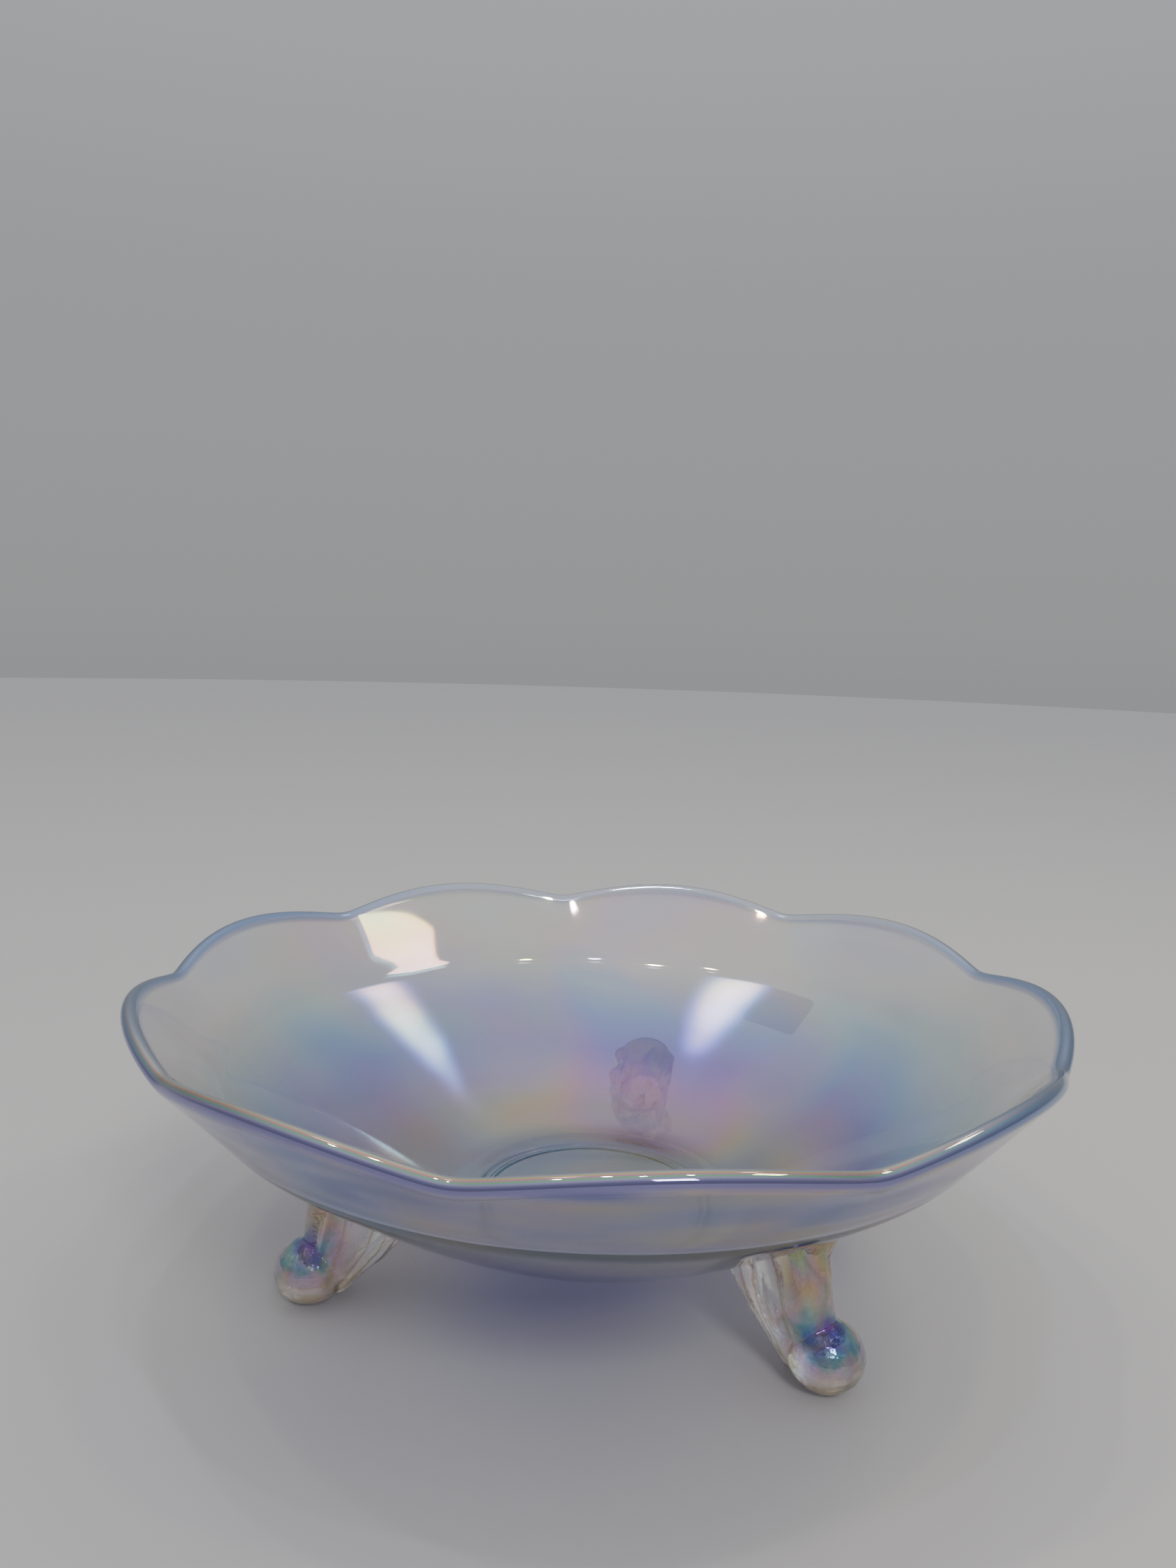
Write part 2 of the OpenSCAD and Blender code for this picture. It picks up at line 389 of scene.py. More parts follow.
def makeBowl():
    line, mid, slope = outerLine()
    lipR = bowl["wall"] / 2
    lip = []
    for angle in bowl["lipAngles"]:
        turn = slope + math.radians(angle)
        lip.append((mid[0] + lipR * math.cos(turn), mid[1] + lipR * math.sin(turn), 1))
    inner, outer = bowl["floorSteps"][:2]
    ringR, ringW, fillet = bowl["ringRadius"], bowl["ringWidth"] / 2, bowl["ringFillet"]
    under = bowl["floorUnder"]
    edge, low, flat = under - bowl["ringEdge"], under - bowl["ringHeight"], ringW * bowl["ringTop"]
    floor = [(inner, under, 0), (outer, under, 0), (ringR - ringW - fillet, under, 0), (ringR - ringW, edge, 0),
             (ringR - flat, low, 0), (ringR + flat, low, 0), (ringR + ringW, edge, 0),
             (ringR + ringW + fillet, under, 0)]
    top = [(outer, under + bowl["wall"], 0), (inner, under + bowl["wall"], 0)]
    rings = floor + line + lip + insideOf(line)[::-1] + top
    obj = turned("bowl_glass", rings)
    scallop(obj, rings)
    tidyNormals(obj)
    applyModifier(obj, "SUBSURF", levels=1, render_levels=1, use_limit_surface=False)
    pick(obj)
    bpy.ops.object.shade_smooth()
    return obj


bowlPiece = makeBowl()
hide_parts("bowl")
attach(bowlPiece, "root")
print("bowl:", len(bowlPiece.data.polygons), "faces", [round(v, 5) for v in bowlPiece.dimensions])


foot = {        # millimetres, with the toe on +X
    "reach": 88,
    "toeRadius": 10.8,
    "toeHeight": 19.4,
    "toeFlat": 0.25,
    "ballParts": (24, 12),
    "rootRise": 0.4,          # share of a root's radius that its middle lies above the bowl's underside
    "voxel": 0.5,
    "smooth": 0.5,
    "grooveWidth": 0.9,
    "sharpest": 50,           # degrees; a sharper edge stays hard
    "lift": 0.6,              # how far its top stands into the bowl's wall
}
footTurns = {"foot_rear": 90, "foot_front_left": 210, "foot_front_right": 330}        # degrees
toeZ = foot["toeHeight"] / 2 - foot["toeFlat"]

cut = {        # millimetres; the wedge that trims a foot
    "inner": 20,              # its section starts here
    "rings": 14,              # how many rings of the bowl's outer line it takes
    "back": ((112, 90), (60, 90)),
    "from": 35,               # and the wedge is cut off here
    "halfWidth": 25,
    "ground": 0.000001,       # metres; even a slice this thin is taken off where the foot stands
}


def rootHeight(r, size):
    return dishHeight(r) + size * foot["rootRise"]


def fluteStations():
    # each flute runs from the bowl to the heel through its (outwards, sideways, height, radius)
    reach = foot["reach"]
    face, middle, inner, tail = reach - 8.5, reach - 17.5, reach - 28, reach - 32.3
    flutes = [[        # the flat face between two ridges
        (face - 1.6, 0, rootHeight(face, 10.4), 10.4),
        (reach - 12.4, 0, 34.5, 7.6),
        (reach - 12.2, 0, 24.5, 6.3),
        (reach - 5.5, 0, toeZ + 1.5, toeZ - 1.2),
    ], [        # the core that the side pleats stand on
        (middle - 2, 0, rootHeight(middle, 5), 5),
        (reach - 15, 0, 18, 4.4),
        (reach - 6, 0, toeZ, 6.4),
    ], [        # the tail
        (tail, 0, rootHeight(tail, 4), 4),
        (reach - 19.6, 0, 13.6, 3.6),
        (reach - 5, 0, toeZ - 1.2, 6.8),
    ]]
    for side in (-1, 1):
        flutes += [[        # a ridge, and three pleats behind it
            (face + 0.4, side * 8.2, rootHeight(face, 3.4), 3.4),
            (reach - 7.2, side * 6.2, 34, 2.5),
            (reach - 7.3, side * 5.3, 25, 2.1),
            (reach - 3, side * 4.6, toeZ + 6.4, 2.2),
        ], [
            (middle + 1.5, side * 8.3, rootHeight(middle, 3.6), 3.6),
            (reach - 12.8, side * 6.5, 19.5, 2.9),
            (reach - 6.5, side * 5, toeZ + 0.5, 3.6),
        ], [
            (middle - 5, side * 7, rootHeight(middle - 5, 3.2), 3.2),
            (reach - 16.2, side * 5.2, 17, 2.5),
            (reach - 8, side * 3.8, toeZ - 1.2, 3.8),
        ], [
            (inner, side * 4.6, rootHeight(inner, 3.6), 3.6),
            (reach - 19, side * 3.2, 14.8, 2.7),
            (reach - 8, side * 2.4, toeZ - 2.4, 4.4),
        ]]
    return flutes


def addBall(x, y, z, r, flat=1.0):
    segments, rings = foot["ballParts"]
    bpy.ops.mesh.primitive_uv_sphere_add(segments=segments, ring_count=rings, radius=r * mm,
                                         location=(x * mm, y * mm, z * mm), scale=(1, 1, flat))


def makeCutter():
    # the bowl's underside as a closed wedge over one foot
    line = outerLine()[0][:cut["rings"]]
    line = [(cut["inner"], line[0][1], 0)] + line
    rings = [(r, z + foot["lift"], 0) for r, z, part in line] + [(r, z, 0) for r, z in cut["back"]]
    obj = turned("cutter", rings)
    tidyNormals(obj)
    applyModifier(obj, "SUBSURF", levels=1, render_levels=1, use_limit_surface=False)
    pick(obj)
    bpy.ops.object.mode_set(mode="EDIT")
    near, half = cut["from"] * mm, cut["halfWidth"] * mm
    for point, normal in (((near, 0, 0), (-1, 0, 0)), ((0, half, 0), (0, 1, 0)), ((0, -half, 0), (0, -1, 0))):
        bpy.ops.mesh.select_all(action="SELECT")
        bpy.ops.mesh.bisect(plane_co=point, plane_no=normal, use_fill=True, clear_outer=True)
    bpy.ops.object.mode_set(mode="OBJECT")
    return obj


def makeFoot():
    # balls at the stations are wrapped in pairs, and all of it is melted into one body
    deselectAll()
    addBall(foot["reach"], 0, toeZ, foot["toeRadius"], foot["toeHeight"] / 2 / foot["toeRadius"])
    obj = bpy.context.object
    obj.name = "foot"
    settle(obj)
    bpy.ops.object.mode_set(mode="EDIT")
    for flute in fluteStations():
        for a, b in zip(flute, flute[1:]):
            bpy.ops.mesh.select_all(action="DESELECT")
            addBall(*a)
            chosen = [v.index for v in bmesh.from_edit_mesh(obj.data).verts if v.select]
            addBall(*b)
            work = bmesh.from_edit_mesh(obj.data)
            work.verts.ensure_lookup_table()
            for i in chosen:
                work.verts[i].select = True
            work.select_flush_mode()
            bmesh.update_edit_mesh(obj.data)
            bpy.ops.mesh.select_mode(type="VERT")
            bpy.ops.mesh.convex_hull()
    bpy.ops.object.mode_set(mode="OBJECT")
    applyModifier(obj, "REMESH", mode="VOXEL", voxel_size=foot["voxel"] * mm)
    applyModifier(obj, "SMOOTH", factor=foot["smooth"], iterations=1)
    return obj


def trimFoot(obj, cutter):
    # the part above the bowl's underside goes; the cut face takes the cutter's material
    applyModifier(obj, "BOOLEAN", operation="DIFFERENCE", object=cutter, solver="MANIFOLD")
    bpy.data.objects.remove(cutter)
    pick(obj)
    bpy.ops.object.mode_set(mode="EDIT")
    bpy.ops.mesh.select_all(action="SELECT")
    bpy.ops.mesh.bisect(plane_co=(0, 0, 0), plane_no=(0, 0, -1), use_fill=True, clear_outer=True,
                        threshold=cut["ground"])
    bpy.ops.mesh.select_all(action="SELECT")
    bpy.ops.mesh.separate(type="LOOSE")
    bpy.ops.object.mode_set(mode="OBJECT")
    *shards, keep = sorted(bpy.context.selected_objects, key=lambda part: len(part.data.polygons))
    for shard in shards:
        bpy.data.objects.remove(shard)
    return keep


def keepPlace(obj):
    # for the colours, every point keeps where it lies on the foot, in millimetres,
    # and how near it is to the bottom of a groove between two flutes
    obj.data.attributes.new("footPlace", "FLOAT_VECTOR", "POINT")
    obj.data.attributes.new("groove", "FLOAT", "POINT")
    place, groove = obj.data.attributes["footPlace"], obj.data.attributes["groove"]
    flutes = [[(Vector(s[:3]), s[3]) for s in flute] for flute in fluteStations()]
    for i, vertex in enumerate(obj.data.vertices):
        point = vertex.co / mm
        place.data[i].vector = point
        gaps = []
        for flute in flutes:
            least = math.inf
            for (a, sizeA), (b, sizeB) in zip(flute, flute[1:]):
                along = b - a
                t = min(1, max(0, (point - a).dot(along) / along.length_squared))
                least = min(least, (point - a - along * t).length - sizeA - (sizeB - sizeA) * t)
            gaps.append(least)
        gaps.sort()
        groove.data[i].value = max(0, 1 - (gaps[1] - gaps[0]) / foot["grooveWidth"])


lustre = {
    "rings": [        # millimetres from the axis, and the tint there
        (30, "#DADADF"), (58, "#D8C9B8"), (71, "#CDB2D4"), (84, "#A5A4E0"),
        (97, "#A3BDE6"), (110, "#C6DADF"), (121, "#EAE8E6"), (140, "#F2F0F4"),
    ],
    "drift": 26,                 # millimetres that the rings wander
    "patch": 90,                 # millimetres from one wander to the next
    "film": (170, 310),          # thinnest and thickest film, in nanometres
    "filmPatch": 60,             # millimetres from thin to thick
    "filmIor": 1.9,              # tin oxide
    "mirror": (0.06, 0.24),      # how much of the wall reflects as a mirror
    "mirrorPatch": 85,
    "bandShare": 0.35,           # how much of the mirror the upturned band keeps
    "bandFrom": 0.3,             # rim share from which it keeps only that
    "underMirror": 0.2,
    "lipMirror": 0.66,
    "patchy": (0.3, 0.7),        # the part of a noise that counts as from least to most
    "under": (-0.6, -0.1),       # upward part of the normal, from all underside to none
    # the underside tints are partly the film's own violet and partly painted shade, a painted reflection of a dark
    # surface below
    "underFilmAndShadeStreaks": [        # along the noise, and the tint there
        (0.34, "#7571BC"), (0.45, "#A0A4DC"), (0.52, "#C9C6E4"), (0.62, "#E2D8D0"), (0.7, "#D4C0DC"),
    ],
    "streakSize": 85,            # millimetres round the bowl
    "streakSquash": 5,           # and so many times less in height
    "lip": (0.9, 0.99),          # rim share where the lip's colours start and are full
    # painted reflections: the near-white middle, where the lip faces up, is a painted reflection of the bright
    # light overhead, and the yellow, pink and green bands are the film's coloured reflections painted on
    "lipFilmAndSheenStripes": [        # from the inside of the lip over to the outside
        (0.1, "#D0D8E8"), (0.35, "#EEF0F6"), (0.56, "#FAF9F8"), (0.64, "#F4E48A"), (0.72, "#F0A0CC"),
        (0.79, "#8ED69C"), (0.88, "#C4BEE6"), (0.96, "#A4A0D8"),
    ],
    "lipColour": "#9DBCEA",
    "lipSides": (0.085, 0.125),        # metres to the left and right, where that colour takes over
    "lipSideShare": 0.8,
    "wave": 26,                  # millimetres between the slow waves of a pressed wall
    "waveDepth": 0.4,
    "waveStrength": 0.2,
    "joined": (0.05, -0.1),      # millimetres outside a foot, from none of the join to all of it
    "ior": 1.52,
    "roughness": 0.045,
}


def makeBowlGlass():
    # Soda-lime glass, pressed in a mould and sprayed hot with a tin salt. The salt leaves a film a few
    # hundred nanometres thick, so the clear wall gains a soft mirror and drifting oil colours.
    mat, tree = newMaterial("lustred_soda_lime_glass")
    coords = addNode(tree, "ShaderNodeTexCoord")
    place = coords.outputs["Object"]
    axes = addNode(tree, "ShaderNodeSeparateXYZ", links={0: place})
    flat = addNode(tree, "ShaderNodeCombineXYZ", links={0: axes.outputs[0], 1: axes.outputs[1]})
    noisy = {"From Min": lustre["patchy"][0], "From Max": lustre["patchy"][1]}

    # the tint goes by the distance from the axis, with some wander
    out = addNode(tree, "ShaderNodeVectorMath", operation="LENGTH", links={0: flat.outputs[0]})
    patch = addNode(tree, "ShaderNodeTexNoise", links={"Vector": place},
                    sockets={"Scale": 1 / (lustre["patch"] * mm), "Detail": 1})
    wander = addNode(tree, "ShaderNodeMath", operation="MULTIPLY_ADD",
                     links={0: patch.outputs["Fac"], 2: out.outputs["Value"]},
                     sockets={1: lustre["drift"] * mm})
    widest, shift = lustre["rings"][-1][0], lustre["drift"] * 0.5
    reach = addNode(tree, "ShaderNodeMapRange", links={"Value": wander.outputs[0]},
                    sockets={"From Min": shift * mm, "From Max": (widest + shift) * mm})
    tint = addNode(tree, "ShaderNodeValToRGB", links={"Fac": reach.outputs["Result"]},
                   stops=[(r / widest, colour) for r, colour in lustre["rings"]])

    # over the lip the film's reflections are painted as stripes by which way the surface faces, near white on top
    # as a painted reflection of the light overhead, and at the bowl's two sides as steel blue
    share = addNode(tree, "ShaderNodeAttribute", attribute_name="rimShare").outputs["Fac"]
    onLip = addNode(tree, "ShaderNodeMapRange", links={"Value": share},
                    sockets={"From Min": lustre["lip"][0], "From Max": lustre["lip"][1]}).outputs["Result"]
    outwards = addNode(tree, "ShaderNodeVectorMath", operation="NORMALIZE", links={0: flat.outputs[0]})
    lean = addNode(tree, "ShaderNodeVectorMath", operation="DOT_PRODUCT",
                   links={0: coords.outputs["Normal"], 1: outwards.outputs[0]})
    over = addNode(tree, "ShaderNodeMapRange", links={"Value": lean.outputs["Value"]},
                   sockets={"From Min": -1, "From Max": 1})
    stripes = addNode(tree, "ShaderNodeValToRGB", links={"Fac": over.outputs["Result"]},
                      stops=lustre["lipFilmAndSheenStripes"])
    wide = addNode(tree, "ShaderNodeMath", operation="ABSOLUTE", links={0: axes.outputs[0]})
    atSide = addNode(tree, "ShaderNodeMapRange", links={"Value": wide.outputs[0]}, sockets={
        "From Min": lustre["lipSides"][0], "From Max": lustre["lipSides"][1], "To Max": lustre["lipSideShare"]})
    lipTint = addNode(tree, "ShaderNodeMix", data_type="RGBA",
                      links={0: atSide.outputs["Result"], 6: stripes.outputs["Color"]},
                      sockets={7: linear(lustre["lipColour"])})
    upper = addNode(tree, "ShaderNodeMix", data_type="RGBA",
                    links={0: onLip, 6: tint.outputs["Color"], 7: lipTint.outputs[2]})

    # the underside of the wall, where it faces down, is painted darker and bluer in long streaky bands round the
    # bowl: partly the film's own violet, partly a painted reflection of dark surroundings below
    normal = addNode(tree, "ShaderNodeSeparateXYZ", links={0: coords.outputs["Normal"]})
    isUnder = addNode(tree, "ShaderNodeMapRange", links={"Value": normal.outputs[2]}, sockets={
        "From Min": lustre["under"][0], "From Max": lustre["under"][1],
        "To Min": 1, "To Max": 0}).outputs["Result"]
    squashed = addNode(tree, "ShaderNodeVectorMath", operation="MULTIPLY", links={0: place},
                       sockets={1: (1, 1, lustre["streakSquash"])})
    streak = addNode(tree, "ShaderNodeTexNoise", links={"Vector": squashed.outputs[0]},
                     sockets={"Scale": 1 / (lustre["streakSize"] * mm), "Detail": 2})
    deepFilmAndShade = addNode(tree, "ShaderNodeValToRGB", links={"Fac": streak.outputs["Fac"]}, stops=lustre["underFilmAndShadeStreaks"])
    colour = addNode(tree, "ShaderNodeMix", data_type="RGBA",
                     links={0: isUnder, 6: upper.outputs[2], 7: deepFilmAndShade.outputs["Color"]})

    # the film drifts in thickness, and its last stretch over the lip has none, so the stripes stay clean
    filmPatch = addNode(tree, "ShaderNodeTexNoise", links={"Vector": place},
                        sockets={"Scale": 1 / (lustre["filmPatch"] * mm), "Detail": 1})
    film = addNode(tree, "ShaderNodeMapRange", links={"Value": filmPatch.outputs["Fac"]},
                   sockets={**noisy, "To Min": lustre["film"][0], "To Max": lustre["film"][1]})
    film = addNode(tree, "ShaderNodeMix", links={0: onLip, 2: film.outputs["Result"]}, sockets={3: 0})

    # the mirror is patchy too, weaker up the band, even below and strong on the lip
    mirrorPatch = addNode(tree, "ShaderNodeTexNoise", links={"Vector": place},
                          sockets={"Scale": 1 / (lustre["mirrorPatch"] * mm), "Detail": 1})
    mirror = addNode(tree, "ShaderNodeMapRange", links={"Value": mirrorPatch.outputs["Fac"]},
                     sockets={**noisy, "To Min": lustre["mirror"][0], "To Max": lustre["mirror"][1]})
    band = addNode(tree, "ShaderNodeMapRange", links={"Value": share},
                   sockets={"From Max": lustre["bandFrom"], "To Min": 1, "To Max": lustre["bandShare"]})
    mirror = addNode(tree, "ShaderNodeMath", operation="MULTIPLY",
                     links={0: mirror.outputs["Result"], 1: band.outputs["Result"]})
    for mask, amount in ((isUnder, lustre["underMirror"]), (onLip, lustre["lipMirror"])):
        mirror = addNode(tree, "ShaderNodeMix", links={0: mask, 2: mirror.outputs[0]}, sockets={3: amount})
    wave = addNode(tree, "ShaderNodeTexNoise", links={"Vector": place},
                   sockets={"Scale": 1 / (lustre["wave"] * mm), "Detail": 1})
    bump = addNode(tree, "ShaderNodeBump", links={"Height": wave.outputs["Fac"]},
                   sockets={"Strength": lustre["waveStrength"], "Distance": lustre["waveDepth"] * mm})

    # where a foot is fused on, there is no surface at all
    depth = addNode(tree, "ShaderNodeAttribute", attribute_name="footDepth")
    joined = addNode(tree, "ShaderNodeMapRange", links={"Value": depth.outputs["Fac"]}, sockets={
        "From Min": lustre["joined"][0], "From Max": lustre["joined"][1]}).outputs["Result"]
    colour = addNode(tree, "ShaderNodeMix", data_type="RGBA", links={0: joined, 6: colour.outputs[2]},
                     sockets={7: linear("#FFFFFF")})
    mirror = addNode(tree, "ShaderNodeMix", links={0: joined, 2: mirror.outputs[0]}, sockets={3: 0})
    film = addNode(tree, "ShaderNodeMix", links={0: joined, 2: film.outputs[0]}, sockets={3: 0})
    rough = addNode(tree, "ShaderNodeMapRange", links={"Value": joined},
                    sockets={"To Min": lustre["roughness"], "To Max": 0})
    ior = addNode(tree, "ShaderNodeMapRange", links={"Value": joined},
                  sockets={"To Min": lustre["ior"], "To Max": 1})
    bsdf = addNode(tree, "ShaderNodeBsdfPrincipled", links={
        "Base Color": colour.outputs[2], "Metallic": mirror.outputs[0], "Roughness": rough.outputs["Result"],
        "IOR": ior.outputs["Result"], "Thin Film Thickness": film.outputs[0], "Normal": bump.outputs["Normal"],
    }, sockets={"Transmission Weight": 1.0, "Thin Film IOR": lustre["filmIor"]})
    addNode(tree, "ShaderNodeOutputMaterial", links={"Surface": bsdf.outputs[0]})
    return mat


footLustre = {        # millimetres, on the foot
    "core": (88.5, 0, 18),         # where the film is thickest
    "stops": [        # from the core outwards
        (0.0, "#7A3FA8"), (0.2, "#5A4AB0"), (0.38, "#4F74BC"), (0.55, "#86C2C6"),
        (0.7, "#E0CCE4"), (0.86, "#F6E6E2"), (1.0, "#F6F4F6"),
    ],
    "start": 7,                    # the first stop lies this far from the core
    "reach": 16,                   # and the last one this much further out
    "wobble": 6.25,                # from one wobble of the pool's edge to the next
    "wobbleBy": 10,                # and how far it is pushed in
    "edgeFade": 11,                # how much the pool shrinks where the glass turns away
    "edgeBlend": 0.4,
    "groove": "#B49C62",
    "grooveShare": 0.8,
    "grooveFrom": (0.1, 0.9),
    "honey": "#D2B96E",
    "honeyShare": 0.8,
    "honeyOut": (76, 81),          # distances out over which the face begins
    "honeyFrom": (20, 30),         # heights over which the face turns honey
    "mirror": (0.5, 0.12),         # on the pool and off it
    "mirrorFrom": (0.45, 0.85),
    "film": (180, 380),            # nanometres
    "filmPatch": 12.5,
    "pit": 1.42857,                # from one shallow pit to the next
    "pitDepth": 0.4,
    "pitStrength": 0.5,
    "clear": 0.94,                 # share of the light that goes through
    "roughness": 0.04,
}


def makeFootGlass():
    # The same glass, hand-fired: the film pools over the toe in violet, blue and teal, the
    # face above it is honey, and the grooves between the clear pleats are a darker honey.
    mat, tree = newMaterial("pearly_lustred_foot_glass")
    place = addNode(tree, "ShaderNodeAttribute", attribute_name="footPlace").outputs["Vector"]
    axes = addNode(tree, "ShaderNodeSeparateXYZ", links={0: place})

    # the pool goes by the distance from its core, with a wobbly edge
    wobble = addNode(tree, "ShaderNodeTexNoise", links={"Vector": place},
                     sockets={"Scale": 1 / footLustre["wobble"], "Detail": 2})
    far = addNode(tree, "ShaderNodeVectorMath", operation="DISTANCE", links={0: place},
                  sockets={1: footLustre["core"]})
    far = addNode(tree, "ShaderNodeMath", operation="MULTIPLY_ADD",
                  links={0: wobble.outputs["Fac"], 2: far.outputs["Value"]},
                  sockets={1: footLustre["wobbleBy"]})
    turnedAway = addNode(tree, "ShaderNodeLayerWeight", sockets={"Blend": footLustre["edgeBlend"]})
    far = addNode(tree, "ShaderNodeMath", operation="MULTIPLY_ADD",
                  links={0: turnedAway.outputs["Facing"], 2: far.outputs[0]},
                  sockets={1: footLustre["edgeFade"]})
    share = addNode(tree, "ShaderNodeMapRange", links={"Value": far.outputs[0]}, sockets={
        "From Min": footLustre["start"], "From Max": footLustre["start"] + footLustre["reach"]}).outputs["Result"]
    tint = addNode(tree, "ShaderNodeValToRGB", links={"Fac": share}, stops=footLustre["stops"])

    # honey on the face, and darker in the grooves
    onFace = addNode(tree, "ShaderNodeMapRange", links={"Value": axes.outputs[0]}, sockets={
        "From Min": footLustre["honeyOut"][0], "From Max": footLustre["honeyOut"][1]})
    above = addNode(tree, "ShaderNodeMapRange", links={"Value": axes.outputs[2]}, sockets={
        "From Min": footLustre["honeyFrom"][0], "From Max": footLustre["honeyFrom"][1],
        "To Max": footLustre["honeyShare"]})
    panel = addNode(tree, "ShaderNodeMath", operation="MULTIPLY",
                    links={0: onFace.outputs["Result"], 1: above.outputs["Result"]})
    honey = addNode(tree, "ShaderNodeMix", data_type="RGBA",
                    links={0: panel.outputs[0], 6: tint.outputs["Color"]},
                    sockets={7: linear(footLustre["honey"])})
    crease = addNode(tree, "ShaderNodeAttribute", attribute_name="groove")
    shade = addNode(tree, "ShaderNodeMapRange", links={"Value": crease.outputs["Fac"]}, sockets={
        "From Min": footLustre["grooveFrom"][0], "From Max": footLustre["grooveFrom"][1],
        "To Max": footLustre["grooveShare"]})
    away = addNode(tree, "ShaderNodeMath", operation="MULTIPLY", links={0: shade.outputs["Result"], 1: share})
    colour = addNode(tree, "ShaderNodeMix", data_type="RGBA", links={0: away.outputs[0], 6: honey.outputs[2]},
                     sockets={7: linear(footLustre["groove"])})

    mirror = addNode(tree, "ShaderNodeMapRange", links={"Value": share}, sockets={
        "From Min": footLustre["mirrorFrom"][0], "From Max": footLustre["mirrorFrom"][1],
        "To Min": footLustre["mirror"][0], "To Max": footLustre["mirror"][1]})
    pits = addNode(tree, "ShaderNodeTexNoise", links={"Vector": place},
                   sockets={"Scale": 1 / footLustre["pit"], "Detail": 2})
    bump = addNode(tree, "ShaderNodeBump", links={"Height": pits.outputs["Fac"]},
                   sockets={"Strength": footLustre["pitStrength"], "Distance": footLustre["pitDepth"] * mm})
    filmPatch = addNode(tree, "ShaderNodeTexNoise", links={"Vector": place},
                        sockets={"Scale": 1 / footLustre["filmPatch"], "Detail": 1})
    film = addNode(tree, "ShaderNodeMapRange", links={"Value": filmPatch.outputs["Fac"]}, sockets={
        "From Min": lustre["patchy"][0], "From Max": lustre["patchy"][1],
        "To Min": footLustre["film"][0], "To Max": footLustre["film"][1]})
    bsdf = addNode(tree, "ShaderNodeBsdfPrincipled", links={
        "Base Color": colour.outputs[2], "Metallic": mirror.outputs["Result"],
        "Thin Film Thickness": film.outputs["Result"], "Normal": bump.outputs["Normal"],
    }, sockets={"Roughness": footLustre["roughness"], "IOR": lustre["ior"],
                "Transmission Weight": footLustre["clear"], "Thin Film IOR": lustre["filmIor"]})
    addNode(tree, "ShaderNodeOutputMaterial", links={"Surface": bsdf.outputs[0]})
    return mat


def makeFused():
    # glass melted to glass: light passes the join as if nothing were there
    mat, tree = newMaterial("fused_glass_join")
    bsdf = addNode(tree, "ShaderNodeBsdfPrincipled", sockets={
        "Base Color": linear("#FFFFFF"), "Roughness": 0, "IOR": 1.0, "Transmission Weight": 1.0})
    addNode(tree, "ShaderNodeOutputMaterial", links={"Surface": bsdf.outputs[0]})
    return mat


bowlPiece.data.materials.append(makeBowlGlass())

joins = {        # millimetres; where the bowl's underside may meet a foot
    "far": 5,                 # no depth is noted past this
    "ring": (30, 105),
    "halfWidth": 24,
    "facing": -0.3,           # a point that looks down less than this isn't underneath
}


def markJoins(bowlObj, footObj):
    # every point under the bowl keeps how deep it lies inside a foot: below 0 it is fused
    tree = BVHTree.FromObject(footObj, bpy.context.evaluated_depsgraph_get())
    depth = bowlObj.data.attributes.new("footDepth", "FLOAT", "POINT")
    nearest, farthest = joins["ring"][0] * mm, joins["ring"][1] * mm
    backTurns = [Matrix.Rotation(-math.radians(turn), 4, "Z") for turn in footTurns.values()]
    for i, vertex in enumerate(bowlObj.data.vertices):
        depth.data[i].value = joins["far"]
        reach = math.hypot(vertex.co.x, vertex.co.y)
        if vertex.normal.z > joins["facing"] or not nearest < reach < farthest:
            continue
        for backTurn in backTurns:
            point = backTurn @ vertex.co
            if point.x < nearest or abs(point.y) > joins["halfWidth"] * mm:
                continue
            hit, normal, index, distance = tree.find_nearest(point)
            side = -1 if (point - hit).dot(normal) < 0 else 1
            depth.data[i].value = min(joins["far"], side * distance / mm)


cutter = makeCutter()
cutter.data.materials.append(makeFused())
print("cutter ready")
footModel = makeFoot()
footModel.data.materials.append(makeFootGlass())
print("foot modelled:", len(footModel.data.polygons), "faces")
markJoins(bowlPiece, footModel)
footModel = trimFoot(footModel, cutter)
keepPlace(footModel)
pick(footModel)
bpy.ops.object.shade_smooth_by_angle(angle=math.radians(foot["sharpest"]))
print("foot trimmed:", len(footModel.data.polygons), "faces")
for node, turn in footTurns.items():
    pick(footModel)
    bpy.ops.object.duplicate()
    piece = bpy.context.object
    piece.name = node + "_glass"
    bpy.ops.transform.rotate(value=-math.radians(turn), orient_axis="Z", center_override=(0, 0, 0))
    settle(piece)
    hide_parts(node)
    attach(piece, "root")
bpy.data.objects.remove(footModel)
print("three feet placed")

labelValues = {        # millimetres and degrees
    "width": 24,
    "length": 17.5,
    "corner": 1.8,
    "turn": 63.4,        # round the bowl from its right-hand side
    "slant": 4,
    "thick": 0.14,
    "gap": 0.02,         # between its back and the wall
    "columns": 24,
    "rows": 18,
    "sharpest": 40,
    "fibre": 1.2,        # from one cloud of fibre to the next
    "paper": [(0.35, "#EDEAE6"), (0.65, "#FAF8F6")],
    "relief": 0.05,
    "reliefStrength": 0.2,
    "clear": 0.8,        # share of the light that comes through
    "ior": 1.45,
    "roughness": 0.3,
}


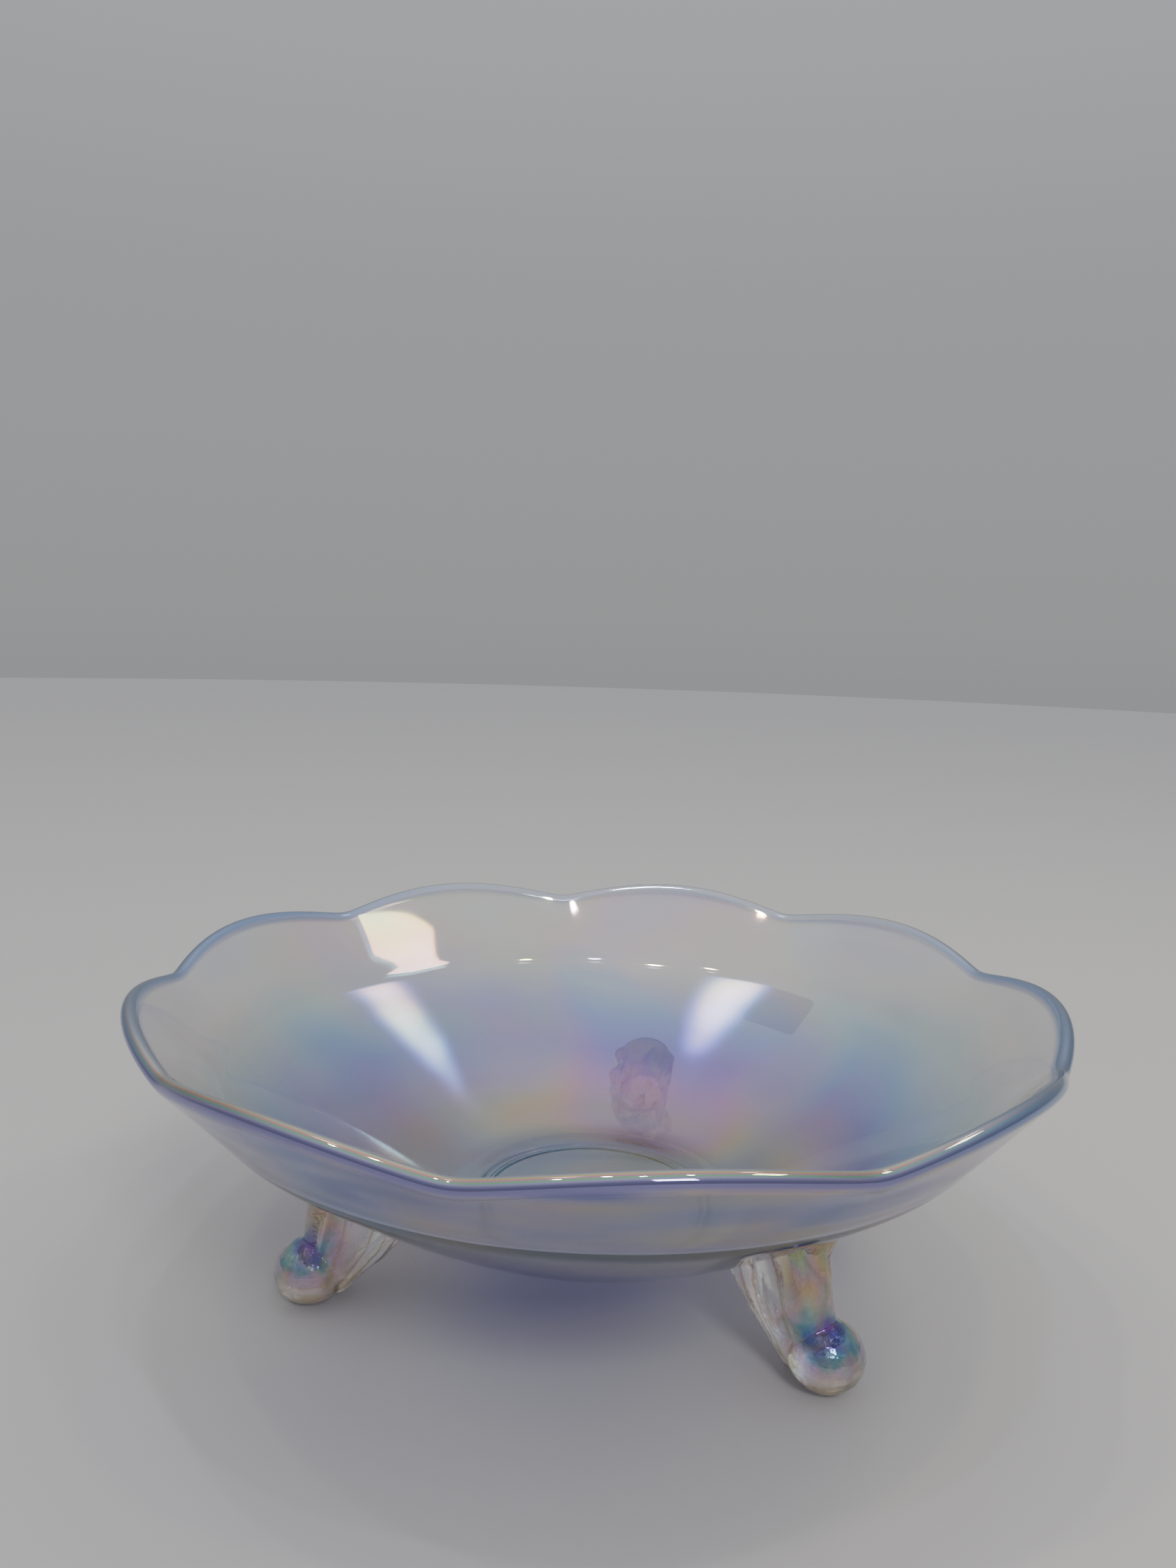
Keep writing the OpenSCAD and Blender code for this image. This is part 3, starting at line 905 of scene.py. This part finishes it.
def makeLabel():
    # a flat card with rounded corners, laid along the outside of the wall
    v = labelValues
    deselectAll()
    bpy.ops.mesh.primitive_grid_add(x_subdivisions=v["columns"], y_subdivisions=v["rows"], size=1)
    obj = bpy.context.object
    obj.name = "paper_label_card"
    bpy.ops.transform.resize(value=(v["width"] * mm, v["length"] * mm, 1))
    settle(obj)
    middle = shoulderR - v["length"] / 2
    rise = math.atan2(dishHeight(middle + 0.5) - dishHeight(middle - 0.5), 1)
    slant = math.radians(v["slant"])
    for vertex in obj.data.vertices:
        a, b = vertex.co.x / mm, vertex.co.y / mm
        edge = min(v["length"] / 2 - abs(b), v["corner"])
        reach = v["width"] / 2 - v["corner"] + math.sqrt(max(0, v["corner"] ** 2 - (v["corner"] - edge) ** 2))
        a *= reach / (v["width"] / 2)
        across = a * math.cos(slant) + b * math.sin(slant)
        up = b * math.cos(slant) - a * math.sin(slant)
        r = middle + up * math.cos(rise)
        turn = math.radians(v["turn"]) - across / r
        out = r + v["gap"] * math.sin(rise)
        height = dishHeight(r) - v["gap"] * math.cos(rise)
        vertex.co = (out * math.cos(turn) * mm, out * math.sin(turn) * mm, height * mm)
    tidyNormals(obj)
    if obj.data.polygons[0].normal.z > 0:        # its face has to look outwards, which is down
        pick(obj)
        bpy.ops.object.mode_set(mode="EDIT")
        bpy.ops.mesh.select_all(action="SELECT")
        bpy.ops.mesh.flip_normals()
        bpy.ops.object.mode_set(mode="OBJECT")
    applyModifier(obj, "SOLIDIFY", thickness=v["thick"] * mm, offset=1)
    pick(obj)
    bpy.ops.object.shade_smooth_by_angle(angle=math.radians(v["sharpest"]))
    return obj


def makePaper():
    # thin coated label paper: a low sheen, a faint mottle of fibre, and light comes through it softly
    v = labelValues
    mat, tree = newMaterial("coated_label_paper")
    place = addNode(tree, "ShaderNodeTexCoord")
    fibre = addNode(tree, "ShaderNodeTexNoise", links={"Vector": place.outputs["Object"]},
                    sockets={"Scale": 1 / (v["fibre"] * mm), "Detail": 3})
    tint = addNode(tree, "ShaderNodeValToRGB", links={"Fac": fibre.outputs["Fac"]}, stops=v["paper"])
    bump = addNode(tree, "ShaderNodeBump", links={"Height": fibre.outputs["Fac"]},
                   sockets={"Strength": v["reliefStrength"], "Distance": v["relief"] * mm})
    bsdf = addNode(tree, "ShaderNodeBsdfPrincipled",
                   links={"Base Color": tint.outputs["Color"], "Normal": bump.outputs["Normal"]},
                   sockets={"Roughness": v["roughness"], "Transmission Weight": v["clear"], "IOR": v["ior"]})
    addNode(tree, "ShaderNodeOutputMaterial", links={"Surface": bsdf.outputs[0]})
    return mat


labelPiece = makeLabel()
labelPiece.data.materials.append(makePaper())
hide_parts("paper_label")
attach(labelPiece, "root")
print("label:", len(labelPiece.data.polygons), "faces")
